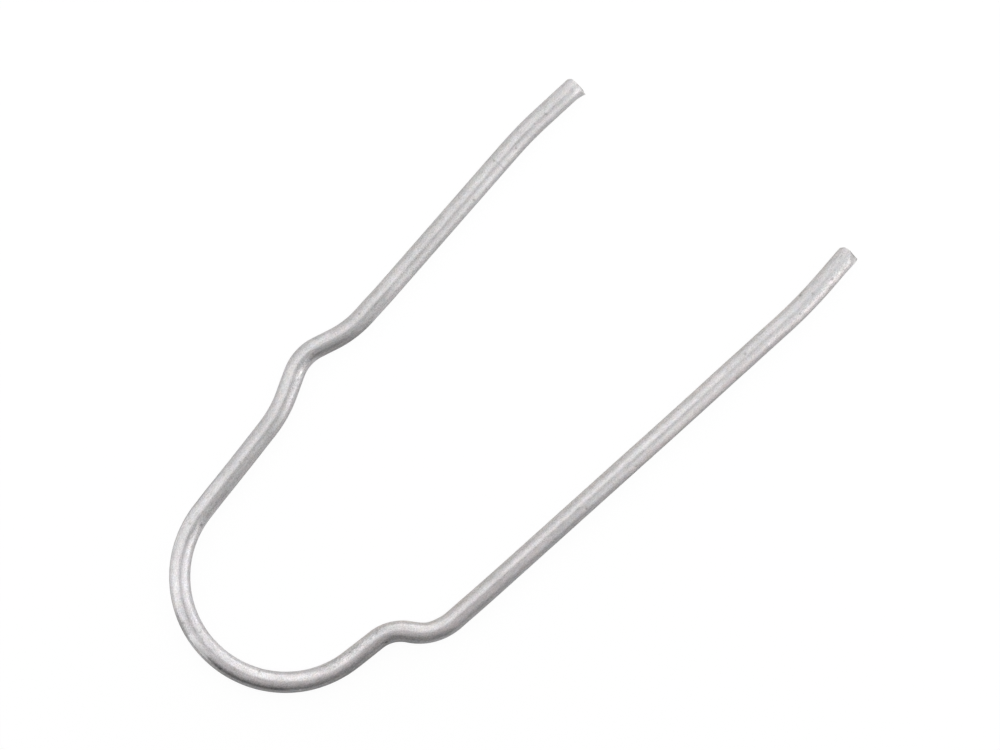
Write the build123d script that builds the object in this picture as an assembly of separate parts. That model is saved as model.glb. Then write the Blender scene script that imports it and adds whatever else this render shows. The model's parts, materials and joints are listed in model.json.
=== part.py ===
from build123d import *
from math import cos, radians, sin, tan
import os

# A U-clip bent from one length of round galvanised wire, in millimetres and degrees.
#
# The clip lies flat. The bow that goes round the post is centred over the origin, both arms
# leave it towards +Y, and the underside of the wire rests on Z = 0. The short arm is on the
# -X side and the long arm on the +X side. Lengths along the wire and bend radii are to its
# centre line. A turn outwards is one away from the other arm.

WIRE_DIAMETER = 2.5

BOW_RADIUS = 12.4

# Short arm, from the bow to the tip: the flank leads out of the bow, a slope turns further
# outwards, a tight crest comes back over it, and the foot sets the leg straight again. The
# last stretch toes in by one slight bend.
SHORT_SPLAY_ANGLE = 6.5
SHORT_FLANK_LENGTH = 12.2
SHORT_SLOPE_RADIUS = 14.8
SHORT_SLOPE_ANGLE = 18.4
SHORT_SLOPE_LENGTH = 2.7
SHORT_CREST_RADIUS = 5.4
SHORT_CREST_ANGLE = 43.5
SHORT_CREST_LENGTH = 2.0
SHORT_FOOT_RADIUS = 13.6
SHORT_FOOT_ANGLE = 22.3
SHORT_LEG_LENGTH = 25.3
SHORT_TOE_RADIUS = 48.0
SHORT_TOE_ANGLE = 6.2
SHORT_TIP_LENGTH = 5.9

# Long arm, from the bow to the tip: a short flank, then one sharp step outwards, made of two
# nearly equal bends with hardly any straight between them, and a leg twice as long.
LONG_SPLAY_ANGLE = 7.3
LONG_FLANK_LENGTH = 3.9
LONG_STEP_RADIUS = 4.7
LONG_STEP_ANGLE = 48.1
LONG_STEP_LENGTH = 0.3
LONG_FOOT_RADIUS = 6.2
LONG_FOOT_ANGLE = 52.2
LONG_LEG_LENGTH = 49.7
LONG_TOE_RADIUS = 78.0
LONG_TOE_ANGLE = 7.5
LONG_TIP_LENGTH = 3.55

# Sheared ends. The shear enters from the -X side of each tip and rolls that corner over, and
# it breaks out on the +X side, where it leaves a slanting facet. A cut leans by its angle
# from square, with the break-out side the longer where the angle is above zero. A facet is
# turned from the wire's axis towards the break-out side, tilted upwards, and begins that far
# past the crown of the wire.
SHORT_CUT_ANGLE = 4.0
SHORT_ROLL_RADIUS = 0.7
SHORT_FACET_TURN = 25.0
SHORT_FACET_TILT = 8.0
SHORT_FACET_START = 0.4
LONG_CUT_ANGLE = 2.0
LONG_ROLL_RADIUS = 0.9
LONG_FACET_TURN = 44.0
LONG_FACET_TILT = 24.0
LONG_FACET_START = 0.1

# The side of the rolled corner runs out just clear of the wire, so that no cut grazes it.
ROLL_CLEARANCE = 0.05

WIRE_RADIUS = WIRE_DIAMETER / 2

# Wire left on each tip for the shear to take off, and the reach of its tools.
SCRAP_LENGTH = WIRE_DIAMETER
SHEAR_REACH = WIRE_DIAMETER + SCRAP_LENGTH

SHORT_SIDE = -1
LONG_SIDE = 1


def arm(side, splay, runs):
    """Edges of one arm's centre line. Its runs are (length,) for a straight or (radius, turn)
    for a bend outwards, each laid tangent to the last from the end of the bow."""
    lean = radians(splay)
    point = Vector(side * BOW_RADIUS * cos(lean), -BOW_RADIUS * sin(lean), WIRE_RADIUS)
    heading = Vector(side * sin(lean), cos(lean), 0)
    edges = []
    for size, *turn in runs:
        if turn:
            edge = JernArc(point, heading, size, -side * turn[0]).edge()
        else:
            edge = Edge.make_line(point, point + heading * size)
        edges.append(edge)
        point = edge @ 1
        heading = edge % 1
    return edges


def tip_plane(last_run):
    """The plane at a tip's true end: x out along the wire, y towards -X, z up."""
    heading = last_run % 1
    return Plane((last_run @ 1) - heading * SCRAP_LENGTH, x_dir=heading, z_dir=(0, 0, 1))


def square_cut(tip, cut_angle, roll_radius):
    """What the shear takes straight off a tip, over a rolled corner on the side it enters."""
    lean = tan(radians(cut_angle))
    edge = WIRE_RADIUS + ROLL_CLEARANCE
    corner = (-edge * lean, edge)
    heel = (SHEAR_REACH * lean, -SHEAR_REACH)
    kept = Polygon((-SHEAR_REACH, edge), corner, heel, (-SHEAR_REACH, -SHEAR_REACH), align=None)
    kept = fillet(kept.vertices().sort_by_distance(corner)[0], roll_radius)
    taken = Rectangle(2 * SHEAR_REACH, 2 * SHEAR_REACH) - kept
    return tip * extrude(taken, WIRE_DIAMETER, both=True)


def break_facet(tip, cut_angle, turn, tilt, start):
    """What breaks away beyond the facet on the side where the shear comes out."""
    crown = Vector(start * tan(radians(cut_angle)), -start, WIRE_RADIUS)
    out = Vector(1, 0, 0).rotate(Axis.Y, -tilt).rotate(Axis.Z, -turn)
    beyond = Pos(0, 0, SHEAR_REACH) * Box(2 * SHEAR_REACH, 2 * SHEAR_REACH, 2 * SHEAR_REACH)
    return tip * (Plane(crown, z_dir=out) * beyond)


short_arm = arm(
    SHORT_SIDE,
    SHORT_SPLAY_ANGLE,
    [
        (SHORT_FLANK_LENGTH,),
        (SHORT_SLOPE_RADIUS, SHORT_SLOPE_ANGLE),
        (SHORT_SLOPE_LENGTH,),
        (SHORT_CREST_RADIUS, -SHORT_CREST_ANGLE),
        (SHORT_CREST_LENGTH,),
        (SHORT_FOOT_RADIUS, SHORT_FOOT_ANGLE),
        (SHORT_LEG_LENGTH,),
        (SHORT_TOE_RADIUS, -SHORT_TOE_ANGLE),
        (SHORT_TIP_LENGTH + SCRAP_LENGTH,),
    ],
)

long_arm = arm(
    LONG_SIDE,
    LONG_SPLAY_ANGLE,
    [
        (LONG_FLANK_LENGTH,),
        (LONG_STEP_RADIUS, LONG_STEP_ANGLE),
        (LONG_STEP_LENGTH,),
        (LONG_FOOT_RADIUS, -LONG_FOOT_ANGLE),
        (LONG_LEG_LENGTH,),
        (LONG_TOE_RADIUS, -LONG_TOE_ANGLE),
        (LONG_TIP_LENGTH + SCRAP_LENGTH,),
    ],
)

bow = ThreePointArc(short_arm[0] @ 0, (0, -BOW_RADIUS, WIRE_RADIUS), long_arm[0] @ 0).edge()
centre_line = Wire([*short_arm[::-1], bow, *long_arm])
section = Plane(centre_line @ 0, z_dir=centre_line % 0) * Circle(WIRE_RADIUS)
clip = sweep(section, path=centre_line)

short_tip = tip_plane(short_arm[-1])
long_tip = tip_plane(long_arm[-1])
clip -= square_cut(short_tip, SHORT_CUT_ANGLE, SHORT_ROLL_RADIUS)
clip -= break_facet(short_tip, SHORT_CUT_ANGLE, SHORT_FACET_TURN, SHORT_FACET_TILT, SHORT_FACET_START)
clip -= square_cut(long_tip, LONG_CUT_ANGLE, LONG_ROLL_RADIUS)
clip -= break_facet(long_tip, LONG_CUT_ANGLE, LONG_FACET_TURN, LONG_FACET_TILT, LONG_FACET_START)

os.makedirs("parts", exist_ok=True)
export_step(clip, "parts/wire_clip.step")
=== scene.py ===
import json
import math

import bpy
import numpy as np
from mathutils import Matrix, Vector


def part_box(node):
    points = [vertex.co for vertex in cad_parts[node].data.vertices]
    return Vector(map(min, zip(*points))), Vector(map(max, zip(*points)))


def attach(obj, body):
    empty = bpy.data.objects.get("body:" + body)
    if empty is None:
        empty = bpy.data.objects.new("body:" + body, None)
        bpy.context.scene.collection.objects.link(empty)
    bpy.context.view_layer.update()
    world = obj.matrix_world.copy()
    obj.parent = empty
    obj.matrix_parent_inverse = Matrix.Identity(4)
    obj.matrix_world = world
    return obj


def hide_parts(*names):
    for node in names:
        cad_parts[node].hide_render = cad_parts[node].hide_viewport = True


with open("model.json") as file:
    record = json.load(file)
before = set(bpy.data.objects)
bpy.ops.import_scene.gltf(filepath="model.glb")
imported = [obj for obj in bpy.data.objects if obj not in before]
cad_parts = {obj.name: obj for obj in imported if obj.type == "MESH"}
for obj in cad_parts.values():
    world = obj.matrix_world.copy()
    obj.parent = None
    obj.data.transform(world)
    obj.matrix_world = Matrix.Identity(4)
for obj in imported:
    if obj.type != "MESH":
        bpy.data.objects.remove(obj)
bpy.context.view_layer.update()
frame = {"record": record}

# ---------------------------------------------------------------------------------------------
# The wire: one length of round galvanised steel wire, drawn hard, dipped in zinc and wiped. It
# is bent cold round pins into a bow with a kink in each arm, so its whole form is one line and
# one round section. All sizes are in metres, and angles in degrees.
# ---------------------------------------------------------------------------------------------
wire_low, wire_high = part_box("wire_clip")
wire_radius = (wire_high.z - wire_low.z) / 2
wire_height = (wire_high.z + wire_low.z) / 2
bow_centre = next(m["pos_m"] for m in frame["record"]["mounts"] if m["name"] == "bow")
bow_radius = 0.0124

# Each arm from the bow outwards: (length, 0) is a straight, (radius, turn) a bend away from
# the other arm. The first number is how far the arm leans out where it leaves the bow.
short_splay = 6.5
short_runs = (
    (0.0122, 0), (0.0148, 18.4), (0.0027, 0), (0.0054, -43.5), (0.0020, 0),
    (0.0136, 22.3), (0.0253, 0), (0.0480, -6.2), (0.0059, 0),
)
long_splay = 7.3
long_runs = (
    (0.0039, 0), (0.0047, 48.1), (0.0003, 0), (0.0062, -52.2), (0.0497, 0),
    (0.0780, -7.5), (0.00355, 0),
)


def arm_runs(splay, runs):
    """Length and curvature of every run of an arm, the half of the bow that leads to it first.
    A bend's length is its radius times its angle, and its curvature one over its radius,
    counted positive to the left of the way out along the arm on the +X side."""
    half_bow = math.radians(90 - splay)
    lengths = [bow_radius * half_bow]
    curvatures = [1 / bow_radius]
    for size, turn in runs:
        lengths.append(size * math.radians(abs(turn)) if turn else size)
        curvatures.append(-math.copysign(1 / size, turn) if turn else 0.0)
    return np.array(lengths), np.array(curvatures)


def arc_step(length, curvature):
    """Way made along and across the start heading by an arc of that length and curvature:
    sin(kl)/k along and (1 - cos(kl))/k across, written so that they hold for a straight."""
    half = length * curvature / 2
    chord = length * np.sinc(half / np.pi)
    return chord * np.cos(half), chord * np.sin(half)


def walk(lengths, curvatures, distance):
    """Points and headings of an arm's centre line at the given distances from the lowest
    point of the bow, for the arm on the +X side. Each lies on the run that its distance falls
    in, one arc step on from the start of that run."""
    starts = np.concatenate([[0.0], np.cumsum(lengths)])
    angles = np.concatenate([[0.0], np.cumsum(lengths * curvatures)])
    along, across = arc_step(lengths, curvatures)
    steps = np.stack([
        along * np.cos(angles[:-1]) - across * np.sin(angles[:-1]),
        along * np.sin(angles[:-1]) + across * np.cos(angles[:-1]),
    ], 1)
    corners = np.array([0.0, -bow_radius]) + np.concatenate([[[0.0, 0.0]], np.cumsum(steps, 0)])
    run = np.clip(np.searchsorted(starts, distance, "right") - 1, 0, len(lengths) - 1)
    into = distance - starts[run]
    along, across = arc_step(into, curvatures[run])
    turn = angles[run]
    points = corners[run] + np.stack([
        along * np.cos(turn) - across * np.sin(turn),
        along * np.sin(turn) + across * np.cos(turn),
    ], 1)
    heading = turn + into * curvatures[run]
    return points, np.stack([np.cos(heading), np.sin(heading)], 1)


side_count = 64
short_lengths, short_curvatures = arm_runs(short_splay, short_runs)
long_lengths, long_curvatures = arm_runs(long_splay, long_runs)
short_reach = short_lengths.sum()
long_reach = long_lengths.sum()

# Marks left by tools and handling: where along the wire from the lowest point of the bow, the
# angle round it (0 towards the other arm, 90 on top, 180 on the outside), how deep, half the
# length and the angle that it spreads over, and how much brighter or duller the zinc is in it.
marks = np.array([
    (-0.0803, 85, 0.000022, 0.00014, 6, -0.30),
    (-0.0750, 68, 0.000016, 0.00014, 7, -0.36),
    (-0.0723, 90, 0.000012, 0.00007, 60, -0.18),
    (-0.0722, 118, 0.000016, 0.00013, 7, -0.42),
    (-0.0672, 56, 0.000014, 0.00014, 8, -0.40),
    (-0.0483, 118, 0.000014, 0.00014, 7, -0.34),
    (-0.0409, 68, 0.000014, 0.00014, 7, -0.30),
    (-0.0403, 56, 0.000012, 0.00012, 7, -0.34),
    (-0.0386, 132, 0.000016, 0.00008, 14, 0.0),
    (-0.0381, 56, 0.000000, 0.00025, 7, 0.42),
    (-0.0371, 56, 0.000012, 0.00012, 7, -0.46),
    (-0.0254, 95, 0.000010, 0.00012, 6, -0.30),
    (-0.0166, 43, 0.000016, 0.00022, 13, -0.44),
    (-0.0161, 34, 0.000010, 0.00010, 8, -0.20),
    (-0.0161, 106, 0.000012, 0.00014, 7, -0.32),
    (-0.0045, 124, 0.000014, 0.00016, 8, -0.46),
    (-0.0026, 62, 0.000012, 0.00014, 7, -0.34),
    (0.0015, 131, 0.000012, 0.00014, 7, -0.20),
    (0.0021, 131, 0.000018, 0.00018, 8, -0.60),
    (0.0064, 41, 0.000014, 0.00016, 9, -0.40),
    (0.0114, 139, 0.000000, 0.00014, 7, 0.50),
    (0.0185, 49, 0.000012, 0.00014, 8, -0.38),
    (0.0223, 56, 0.000016, 0.00014, 8, -0.30),
    (0.0228, 134, 0.000030, 0.00026, 8, -0.54),
    (0.0518, 118, 0.000012, 0.00013, 7, -0.26),
    (0.0594, 127, 0.000028, 0.00016, 5, 0.0),
    (0.0752, 148, 0.000014, 0.00014, 8, -0.34),
    (0.0778, 68, 0.000024, 0.00014, 7, -0.40),
    (0.0807, 118, 0.000000, 0.00014, 7, 0.26),
    (0.0857, 112, 0.000012, 0.00014, 7, -0.40),
    (0.0873, 33, 0.000030, 0.00015, 8, -0.40),
    (0.0884, 85, 0.000020, 0.00012, 6, -0.30),
    (0.0912, 112, 0.000030, 0.00016, 7, -0.46),
    (0.0923, 118, 0.000000, 0.00014, 7, 0.40),
])

# The skin is a row of rings along the line, which stand closer together in a zone round every
# mark and at both tips.
ring_count = 1480
mark_crowding, mark_zone = 1.2, 0.0004
tip_crowding, tip_zone = 1.0, 0.002
fine_line = np.linspace(-short_reach, long_reach, 20000)
density = 1 + mark_crowding * np.exp(-((fine_line[:, None] - marks[:, 0]) / mark_zone)**2).sum(1)
density += tip_crowding * np.exp(-((fine_line + short_reach) / tip_zone)**2)
density += tip_crowding * np.exp(-((fine_line - long_reach) / tip_zone)**2)
filled = np.cumsum(density)
filled = (filled - filled[0]) / (filled[-1] - filled[0])
along_wire = np.interp(np.linspace(0, 1, ring_count), filled, fine_line)
short_part = along_wire < 0
short_points, short_headings = walk(short_lengths, short_curvatures, -along_wire[short_part])
long_points, long_headings = walk(long_lengths, long_curvatures, along_wire[~short_part])
mirrored = np.array([-1.0, 1.0])
line = np.concatenate([short_points * mirrored, long_points]) + np.array(bow_centre[:2])
heading = np.concatenate([-short_headings * mirrored, long_headings])
inward = np.stack([-heading[:, 1], heading[:, 0]], 1)

# A bent leg runs a few hundredths of a millimetre off its true line. Each row is the middle of
# such a stretch along the wire, half its length and how far it stands outwards.
sways = np.array([
    (-0.0488, 0.0019, 0.000050),
    (-0.0310, 0.0030, 0.000022),
    (-0.0203, 0.0020, 0.000022),
    (0.0030, 0.0050, -0.000012),
    (0.0312, 0.0032, -0.000060),
    (0.0755, 0.0050, -0.000053),
    (0.0818, 0.0034, -0.000065),
    (0.0920, 0.0040, -0.000028),
])
for middle, half_length, outwards in sways:
    sway = outwards * np.exp(-((along_wire - middle) / half_length)**2)
    line -= inward * sway[:, None]

angle = np.arange(side_count) * 2 * np.pi / side_count


def soft_noise(seed, long_size, round_size):
    """Smooth random relief on the wire's skin, between about -1 and 1: white noise on an even
    grid along and round the wire, blurred by a bell curve of long_size along it and round_size
    round it, which closes on itself round the wire, and read off at the rings. It is divided
    by two and a half times its own standard deviation."""
    grid = np.random.default_rng(seed).standard_normal((ring_count, side_count))
    ring_step = (long_reach + short_reach) / ring_count
    side_step = 2 * np.pi * wire_radius / side_count
    ring_wave = np.fft.fftfreq(ring_count, ring_step)[:, None]
    side_wave = np.fft.fftfreq(side_count, side_step)[None, :]
    bell = np.exp(-2 * np.pi**2 * ((ring_wave * long_size)**2 + (side_wave * round_size)**2))
    relief = np.fft.ifft2(np.fft.fft2(grid) * bell).real
    grid_place = (along_wire + short_reach) / (long_reach + short_reach) * (ring_count - 1)
    before = np.minimum(grid_place.astype(int), ring_count - 2)
    share = (grid_place - before)[:, None]
    relief = relief[before] * (1 - share) + relief[before + 1] * share
    return relief / relief.std() / 2.5


def turned(start):
    """Angles round the wire counted from start, in degrees between -180 and 180."""
    return (np.degrees(angle) - start + 180) % 360 - 180


draw_relief = soft_noise(11, 0.0060, 0.00010)
grain_relief = soft_noise(12, 0.00030, 0.00013)
wave_relief = soft_noise(13, 0.0030, 0.0009)

# The skin lies a few thousandths of a millimetre inside the nominal round, unevenly.
mean_depth, least_depth = 0.0000095, 0.000003
fine_share, wave_share = 0.0000015, 0.000003
skin_depth = mean_depth + fine_share * (draw_relief + grain_relief) + wave_share * wave_relief
skin_depth = np.maximum(skin_depth, least_depth)
mark_tone = np.ones((ring_count, side_count))
for mark_along, mark_angle, mark_depth, mark_half, mark_spread, mark_gain in marks:
    along_fall = np.exp(-((along_wire - mark_along) / mark_half)**2)[:, None]
    round_fall = np.exp(-(turned(mark_angle) / mark_spread)**4)[None, :]
    skin_depth += mark_depth * along_fall * round_fall
    mark_tone *= 1 + mark_gain * along_fall * round_fall
ring_radius = wire_radius - skin_depth

# The bending tools flatten and squeeze the wire a little: the middle of the place along it,
# half its length, the angle round the wire and how far it stands out there.
bulges = np.array([
    (-0.0495, 0.0016, 180, 0.000030),
    (-0.0360, 0.0018, 180, 0.000030),
    (0.0035, 0.0080, 0, 0.000040),
    (0.0185, 0.0022, 180, 0.000035),
    (0.0234, 0.0014, 180, -0.000020),
    (0.0260, 0.0017, 0, 0.000060),
    (0.0282, 0.0009, 0, -0.000070),
    (0.0335, 0.0050, 0, 0.000038),
])
bulge_spread = 40
for middle, half_length, bulge_angle, out in bulges:
    along_fall = np.exp(-((along_wire - middle) / half_length)**2)[:, None]
    round_fall = np.exp(-(turned(bulge_angle) / bulge_spread)**2)
    ring_radius += out * along_fall * round_fall

# ---------------------------------------------------------------------------------------------
# The sheared ends: each tip is cut by a shear that comes in from the -X side. It rolls that
# corner over, cuts nearly square, and breaks out on the +X side along a slanting facet.
# ---------------------------------------------------------------------------------------------
edge_play = 0.00005
roll_stop = 0.9995
fin_start = 0.96
lip_softness = 0.0001
fold_softness = 0.00003
crease_width = 0.00012
crease_edge = 0.00002


def cut_face(across, up, cut_angle, roll, torn_angle, facet_turn, facet_tilt, facet_start,
             lip, fin):
    """How far a sheared end stands out beyond its nominal plane, at a place across (towards
    -X) and up from the wire's axis, and how near that place is to the crease, on its far side.
    The face is the lower of two surfaces: a plane that leans by the cut angle, rolls down over
    the corner in a quarter round and past the start of the facet falls away by the torn angle,
    and the plane of the facet. Below the axis the facet runs out into a lip, and beyond the
    wire's own side into a fin, each by its own slope."""
    lean = math.radians(cut_angle)
    roll_across = wire_radius + edge_play - roll
    roll_out = (-roll - roll_across * math.sin(lean)) / math.cos(lean)
    past = np.clip(across - roll_across, 0, roll * roll_stop)
    rolled = roll_out + np.sqrt(roll**2 - past**2)
    flat = -across * math.tan(lean)
    square = np.where(across > roll_across + roll * math.sin(lean), rolled, flat)
    square -= math.tan(math.radians(torn_angle)) * np.maximum(-across - facet_start, 0)
    turn = math.radians(facet_turn)
    tilt = math.radians(facet_tilt)
    facet = (math.tan(turn) * (across + facet_start)
             - math.tan(tilt) / math.cos(turn) * (up - wire_radius))
    facet += lip * (np.sqrt(up**2 + lip_softness**2) - up) / 2
    facet += fin * np.maximum(-across - wire_radius * fin_start, 0)
    apart = square - facet
    face = (square + facet - np.sqrt(apart**2 + fold_softness**2)) / 2
    crease = np.exp(-(apart / crease_width)**2) / (1 + np.exp(-apart / crease_edge))
    return face, crease


short_cut = dict(cut_angle=3.5, roll=0.00075, torn_angle=-2.5, facet_turn=19.0, facet_tilt=8.0,
                 facet_start=0.00025, lip=0.0, fin=0.5)
long_cut = dict(cut_angle=3.5, roll=0.00085, torn_angle=8.5, facet_turn=51.3, facet_tilt=23.6,
                facet_start=-0.00016, lip=1.7, fin=0.0)
from_short = along_wire + short_reach
from_long = long_reach - along_wire


def by_tip(from_tip, reach, power, middle, spread):
    """How strongly each point of the skin lies by a tip: one minus its share of the reach from
    the tip, to a power, times a bell curve round the wire."""
    fade = np.clip(1 - from_tip / reach, 0, 1)[:, None]**power
    return fade * np.exp(-(turned(middle) / spread)**2)


# The shear squeezes the wire out sideways where it breaks through: a sharp burr on the short
# tip and a slight swelling on the long one. Its blade presses both tips down a little on top.
burr = 0.00027 * by_tip(from_short, 0.0016, 2, -4, 24)
swell = 0.00003 * by_tip(from_long, 0.0014, 1, 184, 30)
short_press = 0.00007 * by_tip(from_short, 0.0013, 2, 95, 50)
long_press = 0.00006 * by_tip(from_long, 0.0013, 2, 80, 50)
ring_radius = ring_radius + burr + swell - short_press - long_press

# Every ring in the zone at a tip is drawn along the wire, so that the last one follows the
# cut's rim, a little short of the face for the rim to be rounded.
end_zone = 0.0030
rim_round = 0.00003
rim_across = ring_radius[[0, -1]] * np.cos(angle) * np.array([[-1.0], [1.0]])
rim_up = ring_radius[[0, -1]] * np.sin(angle)
short_rim = cut_face(rim_across[0], rim_up[0], **short_cut)[0] - rim_round
long_rim = cut_face(rim_across[1], rim_up[1], **long_cut)[0] - rim_round
short_pull = np.clip(1 - from_short / end_zone, 0, 1)[:, None] * short_rim
long_pull = np.clip(1 - from_long / end_zone, 0, 1)[:, None] * long_rim
shift = long_pull - short_pull

side = ring_radius * np.cos(angle)
rise = ring_radius * np.sin(angle)
skin = np.empty((ring_count, side_count, 3))
skin[..., :2] = (line[:, None, :] + inward[:, None, :] * side[..., None]
                 + heading[:, None, :] * shift[..., None])
skin[..., 2] = wire_height + rise
place = np.stack([along_wire[:, None] + shift, side, rise], 2)

# Each face is closed by rings that shrink from the rim to its middle.
cap_count = 24
rim_share = 1 - rim_round / wire_radius * 1.3
outer_share, inner_share = 0.965, 0.04
shrink = np.concatenate([[rim_share], np.linspace(outer_share, inner_share, cap_count - 1)])


def cap(ring, outward, across_sign, cut):
    """Rings of an end's face, from the rim in to near the middle, and the point that closes
    them: the rim ring shrunk in steps, each point standing out by the cut face's height."""
    share = np.append(shrink, 0.0)[:, None]
    across = share * side[ring]
    up = share * rise[ring]
    out, crease = cut_face(across * across_sign, up, **cut)
    points = np.empty(across.shape + (3,))
    points[..., :2] = (line[ring] + inward[ring] * across[..., None]
                       + outward * heading[ring] * out[..., None])
    points[..., 2] = wire_height + up
    places = np.stack([along_wire[ring] + outward * out, across, up], 2)
    return points, places, crease


short_cap, short_cap_place, short_crease = cap(0, -1, -1, short_cut)
long_cap, long_cap_place, long_crease = cap(-1, 1, 1, long_cut)
rings = np.concatenate([short_cap[-2::-1], skin, long_cap[:-1]])
ring_places = np.concatenate([short_cap_place[-2::-1], place, long_cap_place[:-1]])
poles = np.array([short_cap[-1, 0], long_cap[-1, 0]])
pole_places = np.array([short_cap_place[-1, 0], long_cap_place[-1, 0]])
vertices = np.concatenate([rings.reshape(-1, 3), poles])
places = np.concatenate([ring_places.reshape(-1, 3), pole_places])

row_count = len(rings)
row = np.arange(row_count - 1)[:, None] * side_count
column = np.arange(side_count)
following = (column + 1) % side_count
quads = np.stack([row + column, row + side_count + column,
                  row + side_count + following, row + following], 2).reshape(-1, 4)
last_row = (row_count - 1) * side_count
short_fan = np.stack([np.full(side_count, row_count * side_count), column, following], 1)
long_fan = np.stack([np.full(side_count, row_count * side_count + 1),
                     last_row + following, last_row + column], 1)
fans = np.concatenate([short_fan, long_fan])

wire_mesh = bpy.data.meshes.new("wire")
wire_mesh.vertices.add(len(vertices))
wire_mesh.vertices.foreach_set("co", vertices.astype(np.float32).ravel())
corner_total = quads.size + fans.size
wire_mesh.loops.add(corner_total)
wire_mesh.loops.foreach_set("vertex_index", np.concatenate([quads.ravel(), fans.ravel()]))
face_total = len(quads) + len(fans)
starts = np.concatenate([np.arange(len(quads)) * 4, quads.size + np.arange(len(fans)) * 3])
wire_mesh.polygons.add(face_total)
wire_mesh.polygons.foreach_set("loop_start", starts)
wire_mesh.update(calc_edges=True)
wire_mesh.validate()
wire_mesh.shade_smooth()
wire = bpy.data.objects.new("wire", wire_mesh)
bpy.context.scene.collection.objects.link(wire)
straight = wire_mesh.attributes.new("straight_place", "FLOAT_VECTOR", "POINT")
straight.data.foreach_set("vector", places.astype(np.float32).ravel())

# Painted highlights and shade, with worn and stained places: the zinc is painted brighter
# where highlights fall and darker as painted shade along some of the wire's sides. Each row:
# from, to and softness along the wire, the angle round it, how far it spreads and its softness
# there, and how much brighter or duller the zinc is painted.
painted_light_and_stains = np.array([
    (-0.0167, -0.0060, 0.0015, 180, 38, 12, 0.30),
    (-0.0162, 0.0080, 0.0006, 34, 26, 14, 0.10),
    (-0.0130, -0.0060, 0.0016, 82, 16, 14, 0.07),
    (-0.0052, -0.0026, 0.0009, 152, 26, 8, -0.24),
    (-0.0030, 0.0002, 0.0003, 122, 17, 7, 0.66),
    (0.0000, 0.0270, 0.0006, 184, 38, 8, -0.38),
    (0.0003, 0.0100, 0.0005, 128, 9, 6, -0.34),
    (0.0095, 0.0215, 0.0020, 133, 9, 8, -0.09),
    (0.0030, 0.0560, 0.0030, 119, 11, 8, 0.06),
    (0.0015, 0.0560, 0.0030, 134, 10, 8, -0.18),
    (0.0270, 0.0880, 0.0040, 184, 38, 12, -0.22),
    (0.0140, 0.0190, 0.0020, 72, 16, 12, 0.07),
    (0.0860, 0.0960, 0.0020, 68, 12, 10, -0.08),
    (0.0860, 0.0960, 0.0020, 112, 12, 10, -0.08),
    (0.0400, 0.0720, 0.0050, 80, 16, 14, 0.12),
    (-0.0840, -0.0510, 0.0020, 4, 34, 10, -0.10),
    (-0.0340, -0.0190, 0.0020, 4, 34, 10, -0.12),
    (-0.0485, -0.0415, 0.0012, 12, 28, 10, -0.42),
    (0.0015, 0.0135, 0.0020, 66, 12, 10, 0.12),
    (0.0015, 0.0108, 0.0012, 86, 6, 6, -0.14),
    (-0.0825, -0.0740, 0.0012, 82, 10, 8, -0.05),
    (-0.0854, -0.0845, 0.0003, 66, 16, 8, 0.12),
    (-0.0848, -0.0843, 0.0001, 86, 9, 5, -0.12),
    (-0.0235, -0.0165, 0.0020, 134, 26, 12, 0.12),
    (-0.0126, 0.0040, 0.0030, 78, 26, 14, 0.10),
    (-0.0020, 0.0060, 0.0020, 14, 22, 10, 0.16),
    (0.0150, 0.0202, 0.0012, 92, 12, 10, 0.17),
    (0.0460, 0.0540, 0.0020, 30, 20, 12, 0.10),
    (0.0530, 0.0660, 0.0030, 120, 14, 12, 0.14),
    (0.0850, 0.0960, 0.0020, 131, 12, 8, 0.14),
    (0.0650, 0.0730, 0.0020, 119, 18, 12, 0.12),
    (0.0270, 0.0320, 0.0015, 48, 12, 10, 0.10),
    (0.0090, 0.0300, 0.0030, 184, 36, 10, -0.10),
    (-0.0530, -0.0395, 0.0012, 66, 24, 14, -0.15),
    (-0.0440, -0.0360, 0.0014, 122, 16, 12, 0.10),
    (-0.0375, -0.0300, 0.0015, 68, 12, 10, -0.09),
    (-0.0790, -0.0735, 0.0015, 116, 16, 10, 0.08),
    (0.0715, 0.0790, 0.0012, 84, 46, 14, 0.06),
    (0.0480, 0.0600, 0.0020, 108, 10, 10, 0.09),
    (-0.0735, -0.0640, 0.0020, 91, 9, 8, -0.09),
    (-0.0745, -0.0655, 0.0015, 166, 18, 6, -0.12),
    (-0.0225, -0.0045, 0.0020, 172, 21, 5, -0.20),
    (-0.0225, -0.0175, 0.0012, 34, 10, 8, -0.08),
    (0.0150, 0.0205, 0.0015, 55, 12, 8, 0.09),
    (0.0295, 0.0345, 0.0015, 62, 22, 12, 0.06),
    (0.0765, 0.0815, 0.0015, 94, 6, 6, 0.08),
    (0.0770, 0.0850, 0.0015, 136, 8, 8, -0.09),
    (-0.0645, -0.0520, 0.0020, 125, 8, 8, 0.10),
    (-0.0270, -0.0185, 0.0015, 66, 14, 8, -0.06),
    (-0.0270, -0.0220, 0.0015, 112, 26, 12, -0.06),
    (-0.0175, -0.0080, 0.0012, 148, 8, 6, 0.12),
    (-0.0135, -0.0080, 0.0010, 40, 6, 6, 0.10),
    (0.0160, 0.0250, 0.0020, 110, 16, 10, -0.12),
    (0.0297, 0.0345, 0.0015, 120, 10, 8, -0.08),
    (0.0625, 0.0700, 0.0015, 94, 6, 6, -0.13),
    (0.0730, 0.0835, 0.0020, 42, 22, 12, 0.06),
])

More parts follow.
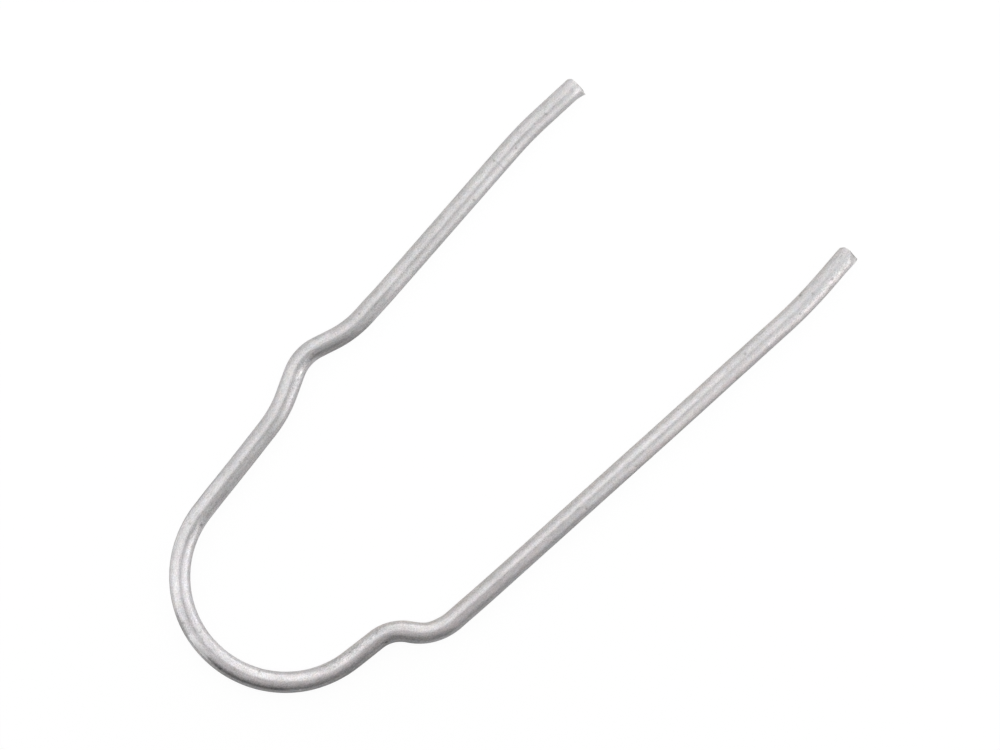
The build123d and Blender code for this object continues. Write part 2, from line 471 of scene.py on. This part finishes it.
# Scratches and drag lines: from and to along the wire, the angle at both ends, and how much
# brighter or duller the zinc is in them.
scratches = np.array([
    (-0.0809, -0.0799, 118, 80, -0.16),
    (-0.0783, -0.0752, 84, 88, -0.12),
    (-0.0226, -0.0209, 139, 139, 0.14),
    (-0.0148, -0.0122, 49, 47, 0.14),
    (-0.0138, -0.0120, 131, 131, -0.14),
    (-0.0131, -0.0105, 62, 62, -0.11),
    (-0.0064, -0.0047, 139, 139, -0.14),
    (-0.0036, 0.0058, 50, 55, -0.18),
    (-0.0026, 0.0006, 140, 140, -0.42),
    (-0.0008, 0.0011, 131, 131, 0.44),
    (0.0014, 0.0044, 124, 124, -0.24),
    (0.0064, 0.0078, 126, 128, -0.26),
    (0.0066, 0.0097, 41, 41, 0.14),
    (0.0082, 0.0098, 128, 131, -0.26),
    (0.0092, 0.0138, 62, 62, 0.10),
    (0.0109, 0.0128, 137, 143, 0.20),
    (0.0111, 0.0130, 130, 131, -0.20),
    (0.0183, 0.0203, 49, 49, -0.18),
    (0.0193, 0.0210, 57, 57, 0.12),
    (0.0235, 0.0264, 109, 119, -0.12),
    (0.0596, 0.0615, 95, 95, -0.12),
])

# How much stronger the grain is in places, given the same way as the painted light and stains.
coarser = np.array([
    (-0.0850, -0.0100, 0.0040, 100, 70, 20, -0.10),
    (-0.0405, -0.0340, 0.0010, 58, 18, 12, 1.10),
    (-0.0196, -0.0125, 0.0010, 48, 24, 14, 0.55),
    (-0.0055, 0.0300, 0.0020, 128, 18, 12, 0.45),
    (0.0150, 0.0225, 0.0020, 48, 22, 14, 0.50),
    (0.0300, 0.0900, 0.0050, 100, 50, 20, -0.25),
    (0.0800, 0.0960, 0.0030, 124, 20, 12, 0.70),
])

# Where the zinc is matter, given the same way.
matter = np.array([
    (0.0000, 0.0760, 0.0030, 152, 42, 16, 0.14),
    (-0.0500, -0.0400, 0.0020, 30, 44, 14, 0.08),
])

# Tarnish, given the same way, with how much more red and more blue the zinc is there.
tarnish = np.array([
    (0.0010, 0.0480, 0.0080, 100, 22, 22, 0.036, 0.002),
    (0.0560, 0.0980, 0.0060, 134, 20, 14, 0.036, -0.006),
    (0.0130, 0.0980, 0.0060, 12, 32, 14, 0.022, -0.030),
    (-0.0140, 0.0020, 0.0040, 60, 40, 20, 0.006, 0.018),
    (0.0000, 0.0480, 0.0030, 178, 32, 14, -0.018, 0.002),
    (-0.0740, -0.0480, 0.0080, 150, 26, 16, 0.000, -0.024),
    (0.0840, 0.0960, 0.0040, 84, 26, 16, -0.014, 0.006),
])

# How softly a scratch starts and ends along the wire, and its width as an angle.
scratch_fade = 0.0004
scratch_spread = 4.5


def edged(value, low, high, soft):
    """1 between low and high and 0 outside, with an S-shaped edge of that softness."""
    return 1 / (1 + np.exp(-(value - low) / soft * 3)) / (1 + np.exp((value - high) / soft * 3))


def patch(start, end, soft, middle, spread, round_soft):
    """How strongly each point of the skin lies in a patch: the product of an edged range along
    the wire and one round it."""
    return (edged(along_wire, start, end, soft)[:, None]
            * edged(turned(middle), -spread, spread, round_soft)[None, :])


def scratch(start, end, first_angle, last_angle):
    """How strongly each point lies in a scratch: a bell curve across the straight line between
    its two ends on the unrolled skin, inside its range along the wire."""
    share = np.clip((along_wire - start) / (end - start), 0, 1)[:, None]
    middle = first_angle + (last_angle - first_angle) * share
    away = turned(0)[None, :] - middle
    away = (away + 180) % 360 - 180
    along_share = edged(along_wire, start, end, scratch_fade)[:, None]
    return along_share * np.exp(-(away / scratch_spread)**2)


# The layers that the finish reads: how strong the grain is, how matt the zinc, its tone with
# painted highlights and shade, and where the steel is bare. The sheared faces are matter, and
# painted darker beyond their crease as the shade of a groove.
grit = np.ones((ring_count, side_count))
for *where, gain in coarser:
    grit *= 1 + gain * patch(*where)
matt = np.zeros((ring_count, side_count))
for *where, gain in matter:
    matt += gain * patch(*where)
tone_and_painted_light = mark_tone[..., None] * np.ones(3)
# Painted highlights and shade, mixed with stains, brighten and darken the tone here.
for *where, gain in painted_light_and_stains:
    tone_and_painted_light *= 1 + gain * patch(*where)[..., None]
for *where, gain in scratches:
    tone_and_painted_light *= 1 + gain * scratch(*where)[..., None]
for *where, red, blue in tarnish:
    tone_and_painted_light *= 1 + patch(*where)[..., None] * np.array([red, 0, blue])
# Painted shade: each sheared face is darkened along and beyond its crease.
short_crease_shade, long_crease_shade = 0.32, 0.60
short_face_painted_shade = 1 - short_crease_shade * short_crease[-2::-1, :, None] * np.ones(3)
long_face_painted_shade = 1 - long_crease_shade * long_crease[:-1, :, None] * np.ones(3)
tones_and_painted_light = np.ones((len(vertices), 4))
tones_and_painted_light[:-2, :3] = np.concatenate([short_face_painted_shade, tone_and_painted_light, long_face_painted_shade]).reshape(-1, 3)
skin_rows = slice(cap_count * side_count, (cap_count + ring_count) * side_count)
grits = np.ones(len(vertices))
grits[skin_rows] = grit.ravel()
face_matt = 0.15
matts = np.full(len(vertices), face_matt)
matts[skin_rows] = matt.ravel()
bare = np.ones(len(vertices))
bare[skin_rows] = 0
# The tone layer holds painted highlights and shade along with the zinc's own marks and stains.
tone_and_painted_light_layer = wire_mesh.attributes.new("tone_and_painted_light", "FLOAT_COLOR", "POINT")
tone_and_painted_light_layer.data.foreach_set("color", tones_and_painted_light.astype(np.float32).ravel())
bare_layer = wire_mesh.attributes.new("bare", "FLOAT", "POINT")
bare_layer.data.foreach_set("value", bare.astype(np.float32))
grit_layer = wire_mesh.attributes.new("grit", "FLOAT", "POINT")
grit_layer.data.foreach_set("value", grits.astype(np.float32))
matt_layer = wire_mesh.attributes.new("matt", "FLOAT", "POINT")
matt_layer.data.foreach_set("value", matts.astype(np.float32))

# The finish: mottled zinc with fine grain and draw streaks on the skin, and bare steel scored
# across by the blade on the sheared faces.
zinc = bpy.data.materials.new("galvanised_zinc")
zinc.use_nodes = True
nodes = zinc.node_tree.nodes
links = zinc.node_tree.links
shader = nodes["Principled BSDF"]
shader.inputs["Metallic"].default_value = 1.0


def attribute(name):
    """A node that reads one of the wire's own layers."""
    made = nodes.new("ShaderNodeAttribute")
    made.attribute_name = name
    return made


def noise(scale, stretch, detail):
    """Noise in the straight wire's own space, drawn out in a direction where its stretch, along
    the wire, across it or up, is small."""
    mapping = nodes.new("ShaderNodeMapping")
    mapping.inputs["Scale"].default_value = stretch
    links.new(straight_node.outputs["Vector"], mapping.inputs["Vector"])
    made = nodes.new("ShaderNodeTexNoise")
    made.inputs["Scale"].default_value = scale
    made.inputs["Detail"].default_value = detail
    links.new(mapping.outputs["Vector"], made.inputs["Vector"])
    return made


def math_node(operation, first, second, third=None):
    """A sum, product or the like of sockets and numbers."""
    made = nodes.new("ShaderNodeMath")
    made.operation = operation
    for slot, value in zip(made.inputs, (first, second, third)):
        if isinstance(value, (int, float)):
            slot.default_value = value
        elif value is not None:
            links.new(value, slot)
    return made.outputs["Value"]


def blend_colours(kind, share, first, second):
    """Two colours mixed or multiplied."""
    made = nodes.new("ShaderNodeMix")
    made.data_type = "RGBA"
    made.blend_type = kind
    for name, value in (("Factor_Float", share), ("A_Color", first), ("B_Color", second)):
        slot = next(s for s in made.inputs if s.identifier == name)
        if isinstance(value, bpy.types.NodeSocket):
            links.new(value, slot)
        else:
            slot.default_value = value
    return next(s for s in made.outputs if s.identifier == "Result_Color")


straight_node = attribute("straight_place")
grain = noise(8200, (0.75, 1, 1), 2.0).outputs["Fac"]
streak = noise(7000, (0.16, 1, 1), 1.5).outputs["Fac"]
mottle = noise(1300, (0.5, 1, 1), 2.0).outputs["Fac"]
cloud = noise(170, (0.8, 1, 1), 1.0).outputs["Fac"]
tint = noise(1500, (0.9, 1, 1), 1.0).outputs["Color"]
shear_lines = noise(9000, (0.5, 0.12, 1), 3.0).outputs["Fac"]

# How much each noise counts in the zinc's brightness. Their sum is centred on the middle of
# the ramp, and the grit layer strengthens all of them but the broad clouds.
grain_share, streak_share, mottle_share, cloud_share = 1.00, 0.34, 0.30, 0.24
centring = -(grain_share + streak_share + mottle_share) / 2
speckle = math_node("MULTIPLY_ADD", grain, grain_share, centring)
speckle = math_node("MULTIPLY_ADD", streak, streak_share, speckle)
speckle = math_node("MULTIPLY_ADD", mottle, mottle_share, speckle)
blotch = math_node("MULTIPLY_ADD", cloud, cloud_share, 0.5 - cloud_share / 2)
blotch = math_node("MULTIPLY_ADD", speckle, attribute("grit").outputs["Fac"], blotch)
dark_zinc = (0.465, 0.455, 0.458, 1)
light_zinc = (0.858, 0.840, 0.846, 1)
ramp = nodes.new("ShaderNodeValToRGB")
dark_end, light_end = ramp.color_ramp.elements
dark_end.position = 0.2
dark_end.color = dark_zinc
light_end.position = 0.8
light_end.color = light_zinc
links.new(blotch, ramp.inputs["Fac"])
tint_share = (0.15, 0.02, 0.15)
tinted = nodes.new("ShaderNodeVectorMath")
tinted.operation = "MULTIPLY_ADD"
tinted.inputs[1].default_value = tint_share
tinted.inputs[2].default_value = [1 - share / 2 for share in tint_share]
links.new(tint, tinted.inputs[0])
zinc_colour = blend_colours("MULTIPLY", 1.0, ramp.outputs["Color"], tinted.outputs["Vector"])

dark_steel = (0.56, 0.548, 0.545, 1)
light_steel = (0.80, 0.782, 0.779, 1)
bare_mask = attribute("bare").outputs["Fac"]
line_share = math_node("MULTIPLY_ADD", shear_lines, 3.0, -1.0)
steel = blend_colours("MIX", line_share, dark_steel, light_steel)
colour = blend_colours("MIX", bare_mask, zinc_colour, steel)
# The tone layer brings in painted highlights and shade with the marks, scratches, stains and
# tarnish.
colour = blend_colours("MULTIPLY", 1.0, colour, attribute("tone_and_painted_light").outputs["Color"])
links.new(colour, shader.inputs["Base Color"])

# Roughness and relief, both stronger where the blade scored the steel.
zinc_rough, streak_rough, scored_rough = 0.30, 0.16, 0.20
streak_height, grain_height, scored_height = 0.7, 0.6, 3.0
scored = math_node("MULTIPLY", shear_lines, bare_mask)
rough = math_node("MULTIPLY_ADD", streak, streak_rough, zinc_rough)
rough = math_node("ADD", attribute("matt").outputs["Fac"], rough)
rough = math_node("MULTIPLY_ADD", scored, scored_rough, rough)
links.new(rough, shader.inputs["Roughness"])
bump = nodes.new("ShaderNodeBump")
bump.inputs["Distance"].default_value = 0.000005
height = math_node("MULTIPLY", grain, grain_height)
height = math_node("MULTIPLY_ADD", streak, streak_height, height)
height = math_node("MULTIPLY_ADD", scored, scored_height, height)
links.new(height, bump.inputs["Height"])
links.new(bump.outputs["Normal"], shader.inputs["Normal"])
wire_mesh.materials.append(zinc)
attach(wire, "root")
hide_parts("wire_clip")

# ---------------------------------------------------------------------------------------------
# The floor: a plain white table top, matt, that the clip lies on. Seen directly it is washed
# out to white by the light, all but a trace of the clip's own shade.
# ---------------------------------------------------------------------------------------------
table_reach = 2
table_corners = ((-1, -1), (1, -1), (1, 1), (-1, 1))
washed_out = 0.92
floor_mesh = bpy.data.meshes.new("table_top")
floor_mesh.from_pydata(
    [(x * table_reach, y * table_reach, wire_low.z) for x, y in table_corners], [],
    [(0, 1, 2, 3)])
floor = bpy.data.objects.new("table_top", floor_mesh)
bpy.context.scene.collection.objects.link(floor)
paper = bpy.data.materials.new("white_table")
paper.use_nodes = True
paper_nodes = paper.node_tree.nodes
paper_shader = paper_nodes["Principled BSDF"]
paper_shader.inputs["Base Color"].default_value = (0.80, 0.80, 0.80, 1)
paper_shader.inputs["Roughness"].default_value = 0.9
paper_shader.inputs["Specular IOR Level"].default_value = 0.1
paper_white = paper_nodes.new("ShaderNodeEmission")
paper_white.inputs["Strength"].default_value = 1.03
paper_ray = paper_nodes.new("ShaderNodeLightPath")
paper_share = paper_nodes.new("ShaderNodeMath")
paper_share.operation = "MULTIPLY"
paper_share.inputs[1].default_value = washed_out
paper_mix = paper_nodes.new("ShaderNodeMixShader")
paper_links = paper.node_tree.links
paper_links.new(paper_ray.outputs["Is Camera Ray"], paper_share.inputs[0])
paper_links.new(paper_share.outputs["Value"], paper_mix.inputs["Fac"])
paper_links.new(paper_shader.outputs["BSDF"], paper_mix.inputs[1])
paper_links.new(paper_white.outputs["Emission"], paper_mix.inputs[2])
paper_links.new(paper_mix.outputs["Shader"], paper_nodes["Material Output"].inputs["Surface"])
floor_mesh.materials.append(paper)

# ---------------------------------------------------------------------------------------------
# The camera looks straight down from well above the clip, turned so that the legs run up and
# to the right.
# ---------------------------------------------------------------------------------------------
lens = bpy.data.cameras.new("camera")
lens.type = "PERSP"
lens.sensor_width = 36.0
lens.lens = 200.0
lens.clip_start = 0.01
lens.clip_end = 10.0
camera = bpy.data.objects.new("camera", lens)
bpy.context.scene.collection.objects.link(camera)
clip_middle = (wire_low + wire_high) / 2
aim_x, aim_y = -0.000767, 0.00439
view_width = 0.11737
view_turn = 44.85
camera.location = (clip_middle.x + aim_x, clip_middle.y + aim_y,
                   wire_height + view_width * lens.lens / lens.sensor_width)
camera.rotation_euler = (0, 0, math.radians(view_turn))
bpy.context.scene.camera = camera

# ---------------------------------------------------------------------------------------------
# The light: a small dome tent of white cloth over the clip, lit evenly from outside. It is open
# towards the front, where the room is dim, and has a round hole over the clip for the lens.
# ---------------------------------------------------------------------------------------------
tent_radius = 0.22
tent_polar = np.arange(0, 91, 2)
tent_turn = np.arange(0, 360, 5)
front_turn = 310
room_glow, low_room_glow, hole_glow = 0.45, 0.07, 0.10

# Brightness of the cloth every 30 degrees round the dome, from +X towards +Y, one row for each
# angle from straight up.
panel_polar = np.array([12, 30, 50, 70, 85])
panel_glow = np.array([
    [1.09, 1.03, 1.06, 1.17, 1.27, 1.28, 1.21, 1.13, 1.10, 1.12, 1.14, 1.13],
    [1.29, 1.07, 0.88, 0.97, 1.08, 1.09, 1.06, 1.17, 1.33, 1.35, 1.32, 1.31],
    [1.68, 1.34, 0.89, 0.91, 1.10, 1.07, 0.89, 1.04, 1.48, 1.54, 1.47, 1.51],
    [1.50, 1.46, 1.26, 1.34, 1.52, 1.25, 0.73, 0.99, 1.38, 1.48, 1.42, 1.41],
    [0.71, 1.11, 1.51, 1.73, 1.79, 1.21, 0.56, 1.06, 1.41, 1.41, 1.27, 1.07],
])


def ease(value, start, end):
    """Smooth step from 0 at start to 1 at end."""
    share = np.clip((value - start) / (end - start), 0, 1)
    return share * share * (3 - 2 * share)


def tent_glow(polar, turn):
    """Brightness of the cloth at angles from straight up and turns round the dome, both in
    degrees: the panels' values blended in both directions, dim in the opening at the front
    and nearly dark in the hole."""
    column = turn // 30 % 12
    share = turn / 30 % 1
    round_dome = panel_glow[:, column] * (1 - share) + panel_glow[:, (column + 1) % 12] * share
    each_row = np.eye(len(panel_polar))
    row_weight = np.array([np.interp(polar, panel_polar, row) for row in each_row])
    cloth_light = row_weight.T @ round_dome
    from_front = np.abs((turn - front_turn + 180) % 360 - 180)
    opening = (1 - ease(from_front, 45, 55)) * ease(polar, 8, 16)[:, None]
    room = room_glow + (low_room_glow - room_glow) * ease(polar, 40, 60)[:, None]
    hole = (1 - ease(polar, 9, 11))[:, None]
    return (cloth_light * (1 - opening) + room * opening) * (1 - hole) + hole_glow * hole


polar_grid, turn_grid = np.meshgrid(
    np.radians(tent_polar), np.radians(tent_turn), indexing="ij")
tent_points = tent_radius * np.stack([np.sin(polar_grid) * np.cos(turn_grid),
                                      np.sin(polar_grid) * np.sin(turn_grid),
                                      np.cos(polar_grid)], 2)
tent_points += np.array([camera.location.x, camera.location.y, wire_low.z])
tent_rings, tent_sides = polar_grid.shape
tent_row = np.arange(tent_rings - 1)[:, None] * tent_sides
tent_column = np.arange(tent_sides)
tent_next = (tent_column + 1) % tent_sides
tent_quads = np.stack([tent_row + tent_column, tent_row + tent_next,
                       tent_row + tent_sides + tent_next, tent_row + tent_sides + tent_column], 2)
tent_mesh = bpy.data.meshes.new("light_tent")
tent_mesh.from_pydata(tent_points.reshape(-1, 3), [], tent_quads.reshape(-1, 4))
tent = bpy.data.objects.new("light_tent", tent_mesh)
bpy.context.scene.collection.objects.link(tent)
tent.visible_camera = False
glow = tent_mesh.attributes.new("glow", "FLOAT", "POINT")
glow.data.foreach_set("value", tent_glow(tent_polar, tent_turn).ravel())
cloth = bpy.data.materials.new("lit_cloth")
cloth.use_nodes = True
cloth.node_tree.nodes.clear()
cloth_glow = cloth.node_tree.nodes.new("ShaderNodeAttribute")
cloth_glow.attribute_name = "glow"
cloth_light = cloth.node_tree.nodes.new("ShaderNodeEmission")
cloth_out = cloth.node_tree.nodes.new("ShaderNodeOutputMaterial")
cloth.node_tree.links.new(cloth_glow.outputs["Fac"], cloth_light.inputs["Strength"])
cloth.node_tree.links.new(cloth_light.outputs["Emission"], cloth_out.inputs["Surface"])
cloth.cycles.emission_sampling = "NONE"
tent_mesh.materials.append(cloth)

# The room beyond the table is evenly dim.
world = bpy.data.worlds.new("dim_room")
bpy.context.scene.world = world
world.use_nodes = True
surroundings = world.node_tree.nodes["Background"]
surroundings.inputs["Color"].default_value = (1, 1, 1, 1)
surroundings.inputs["Strength"].default_value = 0.3
bpy.context.scene.view_settings.view_transform = "Standard"
